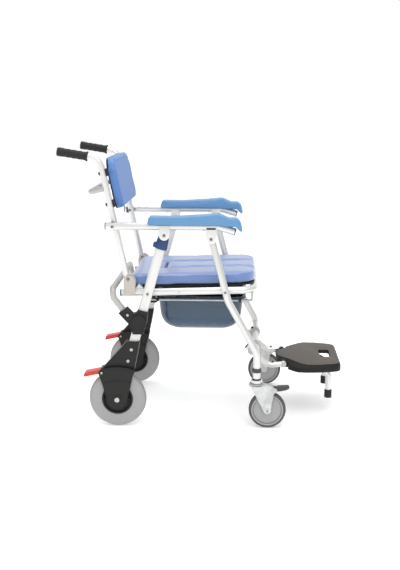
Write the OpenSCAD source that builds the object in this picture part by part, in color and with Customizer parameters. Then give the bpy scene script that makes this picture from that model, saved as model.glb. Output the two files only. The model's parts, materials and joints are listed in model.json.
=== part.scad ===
// Folding commode chair on wheels: tube frame, padded seat with a removable centre pad and pan,
// folding back, level armrests, flip-up footplate, large rear wheels and swivel casters.
// +X points forwards, +Y to the sitter's left, +Z up, and the floor is at Z = 0.
// Side views below are written as [forward of the rear axle, height]; placed() moves the
// finished piece so that X = 0 is the middle of the whole chair's length.

/* [Frame] */
// Height of the seat rail's axis at its rear end
rail_height = 471; // [465:1:477]
// Rise of the seat rail per millimetre of length
rail_slope = 0.031; // [0.02:0.001:0.035]
// Outer diameter of the seat, armrest and front leg tubes
main_tube_d = 25; // [24:0.5:25]
// Outer diameter of the back and rear cross tubes
back_tube_d = 22; // [20:0.5:22]
// Wall thickness of the round tubes
wall = 1.5; // [1.2:0.1:1.8]
// Half distance between the leg planes
leg_y = 252; // [250:1:254]
// Half distance between the seat rails
rail_y = 225; // [224:1:225]

/* [Seat] */
// Half width of the seat cushion
cushion_half_w = 210; // [208:1:212]
// Thickness of the seat cushion
cushion_t = 38; // [34:1:40]
// Half width of the removable centre pad
pad_half_w = 67; // [62:1:67]
// Height of the pan's rim
pan_rim_z = 439; // [438.5:0.1:440]
// Height of the underside of the pan
pan_bottom_z = 311; // [311:1:318]

/* [Back] */
// Lean of the back tubes from the vertical in degrees
back_lean = 12.08; // [11.5:0.02:12.5]
// Half width of the backrest pad
back_pad_half_w = 200; // [190:1:200]

/* [Wheels] */
// Rear wheel diameter
wheel_d = 200; // [196:1:200]
// Caster wheel diameter
caster_d = 130; // [126:1:130]
// Distance of the caster wheel behind or ahead of its swivel axis
caster_trail = 38; // [36:1:40]

/* [Footplate] */
// Height of the footplate's top
plate_top_z = 200; // [198:1:202]
// Front edge of the footplate
plate_front_x = 791; // [785:1:795]

/* [Hidden] */
$fn = 64;

// The whole length runs from the grips' ends to the footplate's front edge.
grip_end_x = -198;
origin_x = (grip_end_x + plate_front_x) / 2;

// Clearances: a turning fit, a gap between bodies, and a bolt.
fit = 0.05;
gap = 0.5;
bolt_d = 8;
// How much smaller a plug is than the many-sided bore of a bent tube.
plug_ease = 0.8;

// Pivots in side view. The back, armrest, seat and front leg pivots form a parallelogram.
function rail_z(x) = rail_height + rail_slope * (x - rail_rear_x);
rail_rear_x = 15;
rail_front_x = 473;
back_pivot = [40, 522];
arm_pivot = [-8, 706];
front_pivot = [375, rail_z(375)];
front_arm_pivot = arm_pivot + front_pivot - back_pivot;
rear_pivot = [109, rail_z(109)];
brace_pivot = [168, 678];
seat_tilt = atan(rail_slope);

// Rear leg: a straight line through the brace pivot and the rear pivot.
leg_dir = (rear_pivot - brace_pivot) / norm(rear_pivot - brace_pivot);
function on_leg(s) = brace_pivot + leg_dir * s;
function leg_at_height(z) = on_leg((brace_pivot[1] - z) / -leg_dir[1]);
leg_tilt = atan2(-leg_dir[0], -leg_dir[1]);
leg_top_s = 20;
leg_bottom = leg_at_height(222);

// Back tube: a straight line that leans back, bent into the handle.
back_foot = [36, 520];
function on_back(x, l) = back_foot + [x * cos(back_lean) - l * sin(back_lean), x * sin(back_lean) + l * cos(back_lean)];
handle_bend = [-52.3, 932.7];
handle_end = [-192, 955.3];
handle_rise = atan2(handle_end[1] - handle_bend[1], handle_bend[0] - handle_end[0]);
screw_levels = [265, 372];

// Wheels and casters.
axle_d = 12;
wheel_r = wheel_d / 2;
caster_r = caster_d / 2;
swivel_x = 486;
caster_x = swivel_x + caster_trail;
brake_pivot = [-52, 197];
caster_brake_pivot = [548, 138];

// Footrest.
foot_tube_y = 106;
foot_tube_d = 20;
cross_tube = [485, 255];
plate_hinge = [585, 187];

// ---------- Shared shapes ----------

module placed() {
    translate([-origin_x, 0, 0]) children();
}

module both_sides() {
    children();
    mirror([0, 1, 0]) children();
}

module right_side() {
    mirror([0, 1, 0]) children();
}

// A straight stretch of the profile from p to q.
module along(p, q) {
    d = q - p;
    translate(p) rotate([0, acos(d[2] / norm(d)), atan2(d[1], d[0])]) linear_extrude(norm(d)) children();
}

function unit(v) = v / norm(v);
function turn(p, i) = acos(unit(p[i] - p[i - 1]) * unit(p[i + 1] - p[i]));
function setback(p, r, i) = (i == 0 || i == len(p) - 1) ? 0 : r * tan(turn(p, i) / 2);

// The centre line of a bent route as rings of [place, direction], with every corner bent to radius r.
function corner_rings(p, r, i) =
    let (
        u = unit(p[i] - p[i - 1]), v = unit(p[i + 1] - p[i]), n = unit(v - (u * v) * u),
        centre = p[i] - u * setback(p, r, i) + n * r, steps = ceil(turn(p, i) / 12)
    )
    [for (k = [0 : steps]) let (a = turn(p, i) * k / steps)
        [centre - n * r * cos(a) + u * r * sin(a), u * cos(a) + n * sin(a)]];
function rings(p, r) = concat(
    [[p[0], unit(p[1] - p[0])]],
    [for (i = [1 : len(p) - 2]) each corner_rings(p, r, i)],
    [[p[len(p) - 1], unit(p[len(p) - 1] - p[len(p) - 2])]]
);
// A normal for each ring, carried along the route without twisting.
function next_normal(n, t) = unit(n - (n * t) * t);
function normals(c, i, n) =
    i == len(c) ? [] :
    let (here = next_normal(n, c[i][1])) concat([here], normals(c, i + 1, here));

tube_sides = 20;

// A hollow tube bent along a route, closed by flat ring ends.
module bent_tube(p, d, r) {
    c = rings(p, r);
    any = abs(c[0][1][1]) < 0.9 ? [0, 1, 0] : [1, 0, 0];
    n = normals(c, 0, any);
    m = tube_sides;
    points = [for (i = [0 : len(c) - 1]) let (w = cross(c[i][1], n[i])) for (radius = [d / 2, d / 2 - wall])
        for (j = [0 : m - 1]) c[i][0] + radius * (n[i] * cos(360 * j / m) + w * sin(360 * j / m))];
    last = 2 * m * (len(c) - 1);
    sides = [for (i = [0 : len(c) - 2]) let (o = 2 * m * i) for (j = [0 : m - 1]) let (k = (j + 1) % m) each [
        [o + j, o + 2 * m + j, o + 2 * m + k, o + k],
        [o + m + k, o + 3 * m + k, o + 3 * m + j, o + m + j]
    ]];
    ends = [for (j = [0 : m - 1]) let (k = (j + 1) % m) each [
        [j, k, m + k, m + j],
        [last + k, last + j, last + m + j, last + m + k]
    ]];
    polyhedron(points, concat(sides, ends));
}

module tube_section(d) {
    difference() {
        circle(d = d);
        circle(d = d - 2 * wall);
    }
}

module tube(p, d) {
    along(p[0], p[1]) tube_section(d);
}

module solid_rod(p, q, d) {
    along(p, q) circle(d = d);
}

module oval(w, t) {
    square([w - t, t], center = true);
    for (s = [-1, 1]) translate([s * (w - t) / 2, 0]) circle(d = t);
}

// A side view point on a plane of constant y.
function side(p, y) = [p[0], y, p[1]];

// A round bar across the chair.
module cross_bar(p, y0, y1, d) {
    translate([p[0], y0, p[1]]) rotate([-90, 0, 0]) cylinder(d = d, h = y1 - y0);
}

// A side view outline with thickness from y0 to y1.
module plate(y0, y1) {
    translate([0, y1, 0]) rotate([90, 0, 0]) linear_extrude(y1 - y0) children();
}

// A bolt across the chair with a head on each side.
module bolt(p, y0, y1, d = bolt_d, head_d = 14, head_t = 4) {
    cross_bar(p, y0, y1, d);
    cross_bar(p, y0 - head_t, y0, head_d);
    cross_bar(p, y1, y1 + head_t, head_d);
}

// The seat's own frame: x along the rail from its rear end, z away from the rail's axis.
module on_seat() {
    translate([rail_rear_x, 0, rail_height]) rotate([0, -seat_tilt, 0]) children();
}

// The back's own frame: z up along the leaning tubes, x forwards.
module on_back_frame() {
    translate(side(back_foot, 0)) rotate([0, -back_lean, 0]) children();
}

// The rear leg's own frame: z up along the leg from the brace pivot, x forwards.
module on_leg_frame() {
    translate(side(brace_pivot, leg_y)) rotate([0, leg_tilt, 0]) children();
}

// A plan outline with rounded corners, rear radius r0 and front radius r1.
module rounded_plan(x0, x1, hw, r0, r1) {
    polygon([
        [x0 + r0, -hw], [x1 - r1, -hw], [x1, -hw + r1], [x1, hw - r1],
        [x1 - r1, hw], [x0 + r0, hw], [x0, hw - r0], [x0, -hw + r0]
    ]);
    for (s = [-1, 1]) {
        translate([x0 + r0, s * (hw - r0)]) circle(r = r0);
        translate([x1 - r1, s * (hw - r1)]) circle(r = r1);
    }
}

// ---------- Seat ----------

rail_length = rail_front_x - rail_rear_x;
rail_bend_r = 45;
rail_top = main_tube_d / 2;
board_t = 6;
cushion_rear = 34;
cushion_front = 468;
slot_rear = 135;
cross_bar_s = 73;

// The seat frame's U: two side rails, two bends and the front tube, drawn with any section.
module rail_route() {
    for (s = [-1, 1]) {
        along([0, s * rail_y, 0], [rail_length - rail_bend_r, s * rail_y, 0]) children();
        translate([rail_length - rail_bend_r, s * (rail_y - rail_bend_r), 0])
            rotate([0, 0, s < 0 ? -90 : 0]) rotate_extrude(angle = 90) translate([rail_bend_r, 0]) children();
    }
    along([rail_length, -rail_y + rail_bend_r, 0], [rail_length, rail_y - rail_bend_r, 0]) children();
}

module seat_frame_tube() {
    color("silver") difference() {
        on_seat() rail_route() tube_section(main_tube_d);
        for (p = [front_pivot, rear_pivot]) cross_bar(p, -300, 300, bolt_d);
    }
}

module rail_solid() {
    on_seat() for (s = [-1, 1]) solid_rod([0, s * rail_y, 0], [400, s * rail_y, 0], main_tube_d);
}

module seat_cross_bar() {
    color("silver") difference() {
        on_seat() tube([[cross_bar_s, -rail_y, 0], [cross_bar_s, rail_y, 0]], main_tube_d);
        rail_solid();
    }
}

module rail_end_caps() {
    color("midnightblue") on_seat() for (s = [-1, 1]) translate([0, s * rail_y, 0]) rotate([0, -90, 0]) {
        translate([0, 0, -14]) cylinder(d = main_tube_d - 2 * wall, h = 14);
        cylinder(d = main_tube_d, h = 4);
    }
}

saddle_half_w = 14.5;
saddle_slot = back_tube_d / 2 + gap;

module back_hinge_brackets() {
    color("tan") both_sides() difference() {
        plate(rail_y - saddle_half_w, rail_y + saddle_half_w) {
            translate([24, 470]) square([40, 45]);
            translate([44, 514]) circle(r = 20);
        }
        plate(rail_y - saddle_slot, rail_y + saddle_slot) translate([0, 497]) square([90, 60]);
        rail_solid();
        cross_bar(back_pivot, rail_y - 30, rail_y + 30, bolt_d);
    }
}

module back_hinge_bolts() {
    color("gray") both_sides() bolt(back_pivot, rail_y - saddle_half_w, rail_y + saddle_half_w);
}

leg_half_t = 10;

// Each leg turns on a bolt through the rail, with a spacer between.
module leg_pivot_bolts() {
    spacer_y = rail_y + main_tube_d / 2;
    color("gray") both_sides() {
        bolt(rear_pivot, rail_y - rail_top, leg_y + leg_half_t + gap);
        bolt(front_pivot, rail_y - rail_top, leg_y + rail_top + gap);
        cross_bar(rear_pivot, spacer_y, leg_y - leg_half_t - gap, 16);
        cross_bar(front_pivot, spacer_y, leg_y - rail_top - gap, 16);
    }
}

module seat_slot(half_w, h) {
    translate([slot_rear, -half_w, -1]) cube([400, 2 * half_w, h + 2]);
}

module seat_base_board() {
    color("black") on_seat() translate([0, 0, rail_top]) difference() {
        linear_extrude(board_t) rounded_plan(cushion_rear + 3, cushion_front - 6, cushion_half_w - 3, 18, 70);
        seat_slot(pad_half_w + 1.5, board_t);
    }
}

module seat_cushion() {
    color("cornflowerblue") on_seat() translate([0, 0, rail_top + board_t]) difference() {
        linear_extrude(cushion_t) rounded_plan(cushion_rear, cushion_front, cushion_half_w, 22, 74);
        seat_slot(pad_half_w + 1.5, cushion_t);
    }
}

module centre_pad_board() {
    color("black") on_seat() translate([slot_rear + 3, -pad_half_w + 2, rail_top + gap])
        cube([cushion_front - slot_rear - 9, 2 * pad_half_w - 4, board_t - gap]);
}

module centre_pad() {
    color("cornflowerblue") on_seat() translate([slot_rear + 1.5, -pad_half_w, rail_top + board_t])
        cube([cushion_front - slot_rear - 1.5, 2 * pad_half_w, cushion_t]);
}

// ---------- Pan ----------

pan_rear_x = 124;
pan_front_x = 445;
pan_rail_y = 152;
// The rear ends stand further out, so that the pan's rim passes between them.
pan_rail_out_y = 168;
pan_rail_d = 8;
pan_rail_z = pan_rim_z - 7.2;
pan_wall = 3;

// Two rods hang from the seat frame's cross bar and front tube.
module pan_rails() {
    rear_x = rail_rear_x + cross_bar_s + 2.5;
    front_x = rail_rear_x + rail_length - 4;
    color("silver") both_sides() difference() {
        union() {
            solid_rod([rear_x, pan_rail_y, pan_rail_z], [front_x, pan_rail_y, pan_rail_z], pan_rail_d);
            solid_rod([rear_x, pan_rail_y, pan_rail_z], [rear_x, pan_rail_out_y, pan_rail_z], pan_rail_d);
            for (p = [[rear_x, pan_rail_y], [rear_x, pan_rail_out_y], [front_x, pan_rail_y]])
                translate([p[0], p[1], pan_rail_z]) sphere(d = pan_rail_d);
            for (p = [[rear_x, pan_rail_out_y], [front_x, pan_rail_y]])
                solid_rod([p[0], p[1], pan_rail_z], [p[0], p[1], rail_z(p[0])], pan_rail_d);
        }
        on_seat() for (x = [cross_bar_s, rail_length]) solid_rod([x, 0, 0], [x, rail_y, 0], main_tube_d);
    }
}

// The pan's body: a bucket with rounded corners that narrows towards its base.
module pan_form(inset, top) {
    hull() for (level = [[0, 62], [8, 42], [24, 24], [50, 9], [top, 0]]) translate([0, 0, max(level[0], inset)])
        linear_extrude(0.01)
            rounded_plan(pan_rear_x + 10 + level[1] + inset, pan_front_x - 10 - level[1] - inset,
                137 - level[1] - inset, 52 - inset, 52 - inset, $fn = 32);
}

module commode_pan() {
    depth = pan_rim_z - pan_bottom_z;
    color("darkslateblue") translate([0, 0, pan_bottom_z]) difference() {
        union() {
            pan_form(0, depth - 1);
            translate([0, 0, depth - pan_wall])
                linear_extrude(pan_wall) rounded_plan(pan_rear_x, pan_front_x, 160, 40, 40);
        }
        pan_form(pan_wall, depth + 5);
    }
}

// ---------- Back ----------

back_points = [side(on_back(0, -12), rail_y), side(handle_bend, rail_y), side(handle_end, rail_y)];

// The back tube's straight part as a solid, to cut what meets it.
module back_solid() {
    solid_rod(back_points[0], back_points[1], back_tube_d);
}

module screw_bar(l, x0, x1, d) {
    on_back_frame() translate([x0, rail_y, l]) rotate([0, 90, 0]) cylinder(d = d, h = x1 - x0);
}

shell_t = 4;
shell_x = back_tube_d / 2;

module back_tubes() {
    color("silver") both_sides() difference() {
        bent_tube(back_points, back_tube_d, 45);
        cross_bar(back_pivot, 200, 250, bolt_d + 2 * fit);
        cross_bar(arm_pivot, 200, 250, bolt_d);
        for (l = screw_levels) screw_bar(l, -30, 30, 6);
    }
}

module push_grips() {
    color("black") both_sides() translate(side(handle_bend, rail_y)) rotate([0, -90 + handle_rise, 0]) {
        difference() {
            union() {
                translate([0, 0, 40]) cylinder(d = 30, h = norm(handle_end - handle_bend) - 36);
                translate([0, 0, 40]) cylinder(d = 34, h = 4);
            }
            translate([0, 0, 30]) cylinder(d = back_tube_d, h = norm(handle_end - handle_bend) - 30);
        }
    }
}

module back_cross_tube() {
    p = [[-38, rail_y, 832], [-96, 165, 814], [-96, -165, 814], [-38, -rail_y, 832]];
    color("gray") difference() {
        bent_tube(p, 20, 50);
        both_sides() back_solid();
    }
}

module backrest_outline(z0, z1, hw, r0, r1) {
    rotate([0, 0, 90]) rounded_plan(z0, z1, hw, r0, r1);
}

// A back panel in the leaning frame, from x0 forwards by t.
module back_panel(x0, t) {
    on_back_frame() translate([x0, 0, 0]) rotate([90, 0, 90]) linear_extrude(t) children();
}

module backrest_shell() {
    color("black") difference() {
        union() {
            back_panel(shell_x, shell_t) backrest_outline(241, 416, back_pad_half_w - 4, 30, 55);
            back_panel(shell_x, shell_t) for (l = screw_levels) translate([-233, l - 13]) square([466, 26]);
        }
        both_sides() for (l = screw_levels) screw_bar(l, -30, 30, 6);
    }
}

module backrest_pad() {
    color("steelblue") back_panel(shell_x + shell_t, 20) backrest_outline(237, 420, back_pad_half_w, 32, 58);
}

module backrest_screws() {
    color("dimgray") both_sides() for (l = screw_levels) {
        screw_bar(l, -shell_x - 3, shell_x + shell_t, 6);
        screw_bar(l, -shell_x - 4, -shell_x, 12);
    }
}

module armrest_pivot_bolts() {
    color("gray") both_sides() bolt(arm_pivot, rail_y - shell_x, leg_y + rail_top + gap);
}

bushing_y1 = leg_y - main_tube_d / 2 - gap;

module armrest_bushings() {
    color("midnightblue") both_sides() difference() {
        plate(rail_y, bushing_y1) translate(arm_pivot) {
            square([28, 22], center = true);
            circle(r = 14);
        }
        back_solid();
        cross_bar(arm_pivot, 200, 250, bolt_d);
    }
}

// ---------- Armrests ----------

arm_z = 707;
arm_rear_x = -31;
arm_points = [[arm_rear_x, leg_y, arm_z], [350, leg_y, arm_z], [406, leg_y, 690]];

// The armrest tube's two straight parts as solids, to cut what meets them.
module arm_solid(clearance = 0) {
    for (i = [0, 1]) solid_rod(arm_points[i], arm_points[i + 1], main_tube_d + 2 * clearance);
}

module armrest_tubes() {
    color("silver") both_sides() difference() {
        bent_tube(arm_points, main_tube_d, 60);
        cross_bar(arm_pivot, 230, 280, bolt_d + 2 * fit);
    }
}

module armrest_end_caps() {
    plug = main_tube_d - 2 * wall - plug_ease;
    color("midnightblue") both_sides() {
        translate(arm_points[0]) rotate([0, -90, 0]) {
            translate([0, 0, -10]) cylinder(d = plug, h = 10);
            cylinder(d = main_tube_d, h = 3);
        }
        translate(arm_points[2]) rotate([0, 90 + atan2(17, 56), 0]) {
            translate([0, 0, -12]) cylinder(d = plug, h = 12);
            cylinder(d = main_tube_d, h = 3);
        }
    }
}

module armrest_pads() {
    color("steelblue") both_sides() difference() {
        plate(leg_y - 30, leg_y + 30) polygon([
            [109, 714], [116, 741], [200, 741], [300, 747], [352, 752], [386, 737], [415, 736], [427, 722],
            [434, 690], [424, 692], [410, 708], [352, 712]
        ]);
        arm_solid(1.5);
        // The outside of the tube's bend, which lies between its two straight parts.
        solid_rod(arm_points[1] - [14, 0, 0], arm_points[1] + [13.4, 0, -4.1], main_tube_d + 5);
    }
}

rear_gap = 14.5;
front_gap = main_tube_d / 2 + 1;
plate_t = 2.5;

// A saddle round the armrest tube with two side plates, open to the front and the rear.
module arm_bracket(p, x0, x1, half_gap) {
    difference() {
        plate(leg_y - half_gap - plate_t, leg_y + half_gap + plate_t) {
            translate([x0, p[1]]) square([x1 - x0, 711 - p[1]]);
            translate([(x0 + x1) / 2, p[1]]) circle(d = x1 - x0);
        }
        plate(leg_y - half_gap, leg_y + half_gap) translate([x0 - 5, p[1] - 30]) square([x1 - x0 + 10, 723.5 - p[1]]);
        arm_solid();
        cross_bar(p, 200, 300, bolt_d);
    }
}

module armrest_rear_brackets() {
    color("white") both_sides() arm_bracket(brace_pivot, 150.5, 185.5, rear_gap);
}

module armrest_front_brackets() {
    color("gainsboro") both_sides() arm_bracket(front_arm_pivot, 309.5, 344.5, front_gap);
}

// Short bolts in the side plates leave the space between the plates free.
module short_bolt(p, half_gap) {
    cross_bar(p, leg_y + half_gap, leg_y + half_gap + plate_t, bolt_d);
    cross_bar(p, leg_y + half_gap + plate_t, leg_y + half_gap + plate_t + 3.5, 14);
    cross_bar(p, leg_y - half_gap - plate_t, leg_y - half_gap, bolt_d);
    cross_bar(p, leg_y - half_gap - plate_t - 3.5, leg_y - half_gap - plate_t, 14);
}

module armrest_bracket_bolts() {
    color("gray") both_sides() {
        short_bolt(brace_pivot, rear_gap);
        short_bolt(front_arm_pivot, front_gap);
    }
}

// ---------- Front legs and casters ----------

front_top = front_arm_pivot + 12 * (front_arm_pivot - front_pivot) / norm(front_arm_pivot - front_pivot);
front_points = [side(front_top, leg_y), [385, leg_y, 450], [swivel_x, leg_y, 267], [swivel_x, leg_y, 203]];

module front_legs() {
    color("silver") both_sides() difference() {
        bent_tube(front_points, main_tube_d, 80);
        cross_bar(front_pivot, 230, 275, bolt_d + 2 * fit);
    }
}

module front_cross_tube() {
    color("silver") difference() {
        tube([side(cross_tube, -leg_y), side(cross_tube, leg_y)], back_tube_d);
        both_sides() solid_rod(front_points[2], front_points[3] + [0, 0, -5], main_tube_d);
        both_sides() solid_rod(front_points[2] + [0, 0, 30], front_points[3], main_tube_d);
    }
}

module leg_collars() {
    color("dimgray") both_sides() translate([swivel_x, leg_y, 199]) difference() {
        cylinder(d = 31, h = 14);
        translate([0, 0, -1]) cylinder(d = main_tube_d - 2 * wall, h = 5);
        translate([0, 0, 4]) cylinder(d = main_tube_d, h = 20);
    }
}

swivel_pin_d = 10;

module caster_stems() {
    color("whitesmoke") both_sides() translate([swivel_x, leg_y, 0]) difference() {
        union() {
            translate([0, 0, 160.5]) cylinder(d = 40, h = 12);
            translate([0, 0, 172]) cylinder(d = main_tube_d - 2 * wall - plug_ease, h = 66);
        }
        translate([0, 0, 150]) cylinder(d = swivel_pin_d + 2 * fit, h = 60);
    }
}

fork_in = 15;
fork_t = 3;

module caster_fork() {
    color("silver") {
        difference() {
            union() {
                translate([swivel_x, leg_y, 148]) cylinder(d = 50, h = 12);
                plate(leg_y - fork_in - fork_t, leg_y + fork_in + fork_t) {
                    translate([caster_x, caster_r]) circle(r = 13);
                    polygon([
                        [463, 157], [509, 157], [543, 148], [556, 144], [558, 134], [546, 126],
                        [caster_x + 12, caster_r + 5], [caster_x - 12, caster_r - 5]
                    ]);
                }
            }
            plate(leg_y - fork_in, leg_y + fork_in) translate([430, 30]) square([160, 117.5]);
            cross_bar([caster_x, caster_r], 200, 300, bolt_d);
            cross_bar(caster_brake_pivot, 200, 300, 6);
        }
        translate([swivel_x, leg_y, 160]) cylinder(d = swivel_pin_d, h = 46);
        bolt([caster_x, caster_r], leg_y - fork_in - fork_t, leg_y + fork_in + fork_t, bolt_d, 14, 4);
        bolt(caster_brake_pivot, leg_y - fork_in - fork_t, leg_y + fork_in + fork_t, 6, 9, 2);
    }
}

module caster_fork_left() {
    caster_fork();
}

module caster_fork_right() {
    right_side() caster_fork();
}

module caster_wheel() {
    color("darkgray") translate([caster_x, leg_y, caster_r]) rotate([90, 0, 0]) rotate_extrude() polygon([
        [bolt_d / 2 + fit, -14], [16, -14], [18, -8], [48, -8], [50, -12], [caster_r - 4, -13], [caster_r, -8],
        [caster_r, 8], [caster_r - 4, 13], [50, 12], [48, 8], [18, 8], [16, 14], [bolt_d / 2 + fit, 14]
    ]);
}

module caster_wheel_left() {
    caster_wheel();
}

module caster_wheel_right() {
    right_side() caster_wheel();
}

module caster_brake() {
    color("gray") difference() {
        union() {
            cross_bar(caster_brake_pivot, leg_y - 14, leg_y + 14, 12);
            plate(leg_y - 14, leg_y + 14) polygon([
                [548, 144], [561, 149], [596, 151], [601, 146], [590, 139], [566, 134], [550, 133]
            ]);
        }
        cross_bar(caster_brake_pivot, 200, 300, 6 + 2 * fit);
    }
}

module caster_brake_left() {
    caster_brake();
}

module caster_brake_right() {
    right_side() caster_brake();
}

// ---------- Footrest ----------

foot_points = [[452, foot_tube_y, 253], [529, foot_tube_y, 182], [585, foot_tube_y, 187]];

module foot_solid() {
    solid_rod(foot_points[0], foot_points[1], foot_tube_d);
}

module footrest_clamps() {
    near_tube = [468.5, 237.8];
    color("gray") both_sides() difference() {
        union() {
            plate(foot_tube_y - 13, foot_tube_y + 13) {
                translate(cross_tube) circle(r = 17);
                translate(near_tube) circle(r = 14);
                polygon([[456, 246], [470, 268], [500, 247], [482, 223]]);
            }
        }
        foot_solid();
        cross_bar(cross_tube, 0, 200, back_tube_d);
    }
}

module footrest_tubes() {
    color("silver") both_sides() difference() {
        union() {
            bent_tube(foot_points, foot_tube_d, 45);
            cross_bar(plate_hinge, foot_tube_y - 9, foot_tube_y + 9, foot_tube_d);
        }
        cross_bar(plate_hinge, 80, 140, bolt_d + 2 * fit);
    }
}

module footrest_tube_caps() {
    color("midnightblue") both_sides() translate(foot_points[0]) rotate([0, -47.3, 0]) {
        translate([0, 0, -10]) cylinder(d = foot_tube_d - 2 * wall - plug_ease, h = 10);
        cylinder(d = foot_tube_d, h = 3);
    }
}

plate_rear_x = 562;
plate_depth = 28;
rear_block_half_w = foot_tube_y - foot_tube_d / 2 - 1;

// Plan outline of the footplate: a narrow rear between the tubes, wide sides and a rounded front.
module plate_plan(inset) {
    front = plate_front_x - inset;
    polygon([
        [plate_rear_x + inset, -rear_block_half_w + inset + 10], [plate_rear_x + inset + 10, -rear_block_half_w + inset],
        [601 + inset, -rear_block_half_w + inset], [601 + inset, -foot_tube_y - 18 + inset],
        [636, -161 + inset], [668, -164 + inset], [front - 40, -151 + inset], [front - 12, -139 + inset],
        [front - 1, -115 + inset], [front, -90], [front, 90], [front - 1, 115 - inset], [front - 12, 139 - inset],
        [front - 40, 151 - inset], [668, 164 - inset], [636, 161 - inset],
        [601 + inset, foot_tube_y + 18 - inset], [601 + inset, rear_block_half_w - inset],
        [plate_rear_x + inset + 10, rear_block_half_w - inset], [plate_rear_x + inset, rear_block_half_w - inset - 10]
    ]);
}

hand_slot = [719, 761];
hand_slot_half_w = 55;

module hand_slot_plan(grow) {
    r = (hand_slot[1] - hand_slot[0]) / 2 + grow;
    translate([(hand_slot[0] + hand_slot[1]) / 2, 0]) rotate([0, 0, 90]) oval(2 * hand_slot_half_w + 2 * grow, 2 * r);
}

// A tray turned upside down, with a hinge boss on each side and a socket for each foot tube.
module footplate() {
    color("dimgray") difference() {
        union() {
            difference() {
                translate([0, 0, plate_top_z - plate_depth]) linear_extrude(plate_depth) plate_plan(0);
                translate([0, 0, plate_top_z - plate_depth - 1]) linear_extrude(plate_depth - 4) plate_plan(4);
            }
            translate([0, 0, plate_top_z - 14]) linear_extrude(12) hand_slot_plan(4);
            for (s = [-1, 1]) cross_bar(plate_hinge, s * (rear_block_half_w - 13) - 12, s * (rear_block_half_w - 13) + 12, 22);
            both_sides() translate([662, 74, plate_top_z - 26]) cube([40, 24, 24]);
        }
        translate([0, 0, plate_top_z - 60]) linear_extrude(80) hand_slot_plan(0);
        both_sides() cross_bar(plate_hinge, 40, 130, bolt_d);
        both_sides() solid_rod(leg_points[0], leg_points[1], 22);
    }
}

leg_points = [[672, 86, 187], [750, 86, 150], [750, 86, 72]];

module footplate_legs() {
    color("silver") both_sides() bent_tube(leg_points, 22, 25);
}

module footplate_feet() {
    color("black") both_sides() translate([750, 86, 58]) difference() {
        cylinder(d = 27, h = 30);
        translate([0, 0, 14]) cylinder(d = 22, h = 20);
    }
}

module footplate_hinge_bolts() {
    color("gray") both_sides() {
        cross_bar(plate_hinge, rear_block_half_w - 24, foot_tube_y + 10, bolt_d);
        cross_bar(plate_hinge, foot_tube_y + 10, foot_tube_y + 14, 15);
    }
}

// ---------- Rear legs ----------

housing_y = [leg_y - 12, leg_y + 17];
cover = [77, 374];
socket_bolt = [40, 401];
bracket_bolts = [[51.5, 279], [39.5, 238]];
rear_cross_points = [
    [44, leg_y, 388], [-9, leg_y, 458], [-13, leg_y, 489],
    [-13, -leg_y, 489], [-9, -leg_y, 458], [44, -leg_y, 388]
];

module leg_line(w, t) {
    along(side(on_leg(leg_top_s), leg_y), side(leg_bottom, leg_y)) oval(w, t);
}

module rear_legs() {
    color("whitesmoke") both_sides() difference() {
        leg_line(34, 2 * leg_half_t);
        leg_line(30, 2 * leg_half_t - 4);
        cross_bar(rear_pivot, 230, 275, bolt_d + 2 * fit);
        for (p = bracket_bolts) cross_bar(p, 230, 275, bolt_d);
    }
}

module rear_cross_tube() {
    color("silver") difference() {
        bent_tube(rear_cross_points, back_tube_d, 16);
        both_sides() cross_bar(socket_bolt, 230, 275, bolt_d);
    }
}

module leg_housings() {
    color("black") both_sides() difference() {
        union() {
            plate(housing_y[0], housing_y[1]) polygon([
                [9, 407], [37, 427], [58, 405], [72, 410], [75, 420], [110, 411], [105, 372], [92, 333], [57, 333], [46, 366]
            ]);
            cross_bar(cover, housing_y[0] - 4, housing_y[1] + 4, 54);
        }
        leg_line(34, 2 * leg_half_t);
        solid_rod(rear_cross_points[0], rear_cross_points[1], back_tube_d);
        cross_bar(socket_bolt, 200, 300, bolt_d);
    }
}

fork_half_w = 30;
fork_gap = 24;

module wheel_brackets() {
    outline = [
        [33, 307], [80, 307], [72, 262], [60, 215], [50, 160], [36, 100], [-36, 100], [-52, 160], [-64, 196],
        [-58, 210], [-46, 215], [22, 292]
    ];
    color("black") both_sides() difference() {
        union() {
            intersection() {
                plate(leg_y - 18, leg_y + 18) polygon(outline);
                translate([-100, leg_y - 40, 206]) cube([220, 80, 120]);
            }
            intersection() {
                plate(leg_y - fork_half_w, leg_y + fork_half_w) {
                    polygon(outline);
                    translate([0, wheel_r]) circle(r = 36);
                }
                translate([-100, leg_y - 40, 0]) cube([220, 80, 231]);
            }
        }
        plate(leg_y - fork_gap, leg_y + fork_gap) difference() {
            translate([-150, 30]) square([300, 177]);
            translate([-150, 207]) square([300, 10]);
        }
        leg_line(34, 2 * leg_half_t);
        plate(leg_y - fork_gap, leg_y + fork_gap) translate([-90, 180]) square([60, 60]);
        cross_bar([0, wheel_r], 200, 300, axle_d);
        cross_bar(brake_pivot, 200, 300, 6);
        for (p = bracket_bolts) cross_bar(p, 200, 300, bolt_d);
    }
}

module rear_frame_bolts() {
    color("silver") both_sides() {
        bolt(socket_bolt, housing_y[0], housing_y[1], bolt_d, 13, 2);
        bolt(bracket_bolts[0], leg_y - 18, leg_y + 18, bolt_d, 13, 3);
        bolt(bracket_bolts[1], leg_y - 18, leg_y + 18, bolt_d, 13, 3);
        bolt(brake_pivot, leg_y - fork_half_w, leg_y + fork_half_w, 6, 9, 2);
    }
}

module rear_axles() {
    color("silver") both_sides() bolt([0, wheel_r], leg_y - fork_half_w, leg_y + fork_half_w, axle_d, 20, 4);
}

module rear_tyre() {
    color("darkgray") translate([0, leg_y, wheel_r]) rotate([90, 0, 0]) rotate_extrude() polygon([
        [54, -20], [wheel_r - 12, -20], [wheel_r - 4, -15], [wheel_r, -7],
        [wheel_r, 7], [wheel_r - 4, 15], [wheel_r - 12, 20], [54, 20]
    ]);
}

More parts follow.
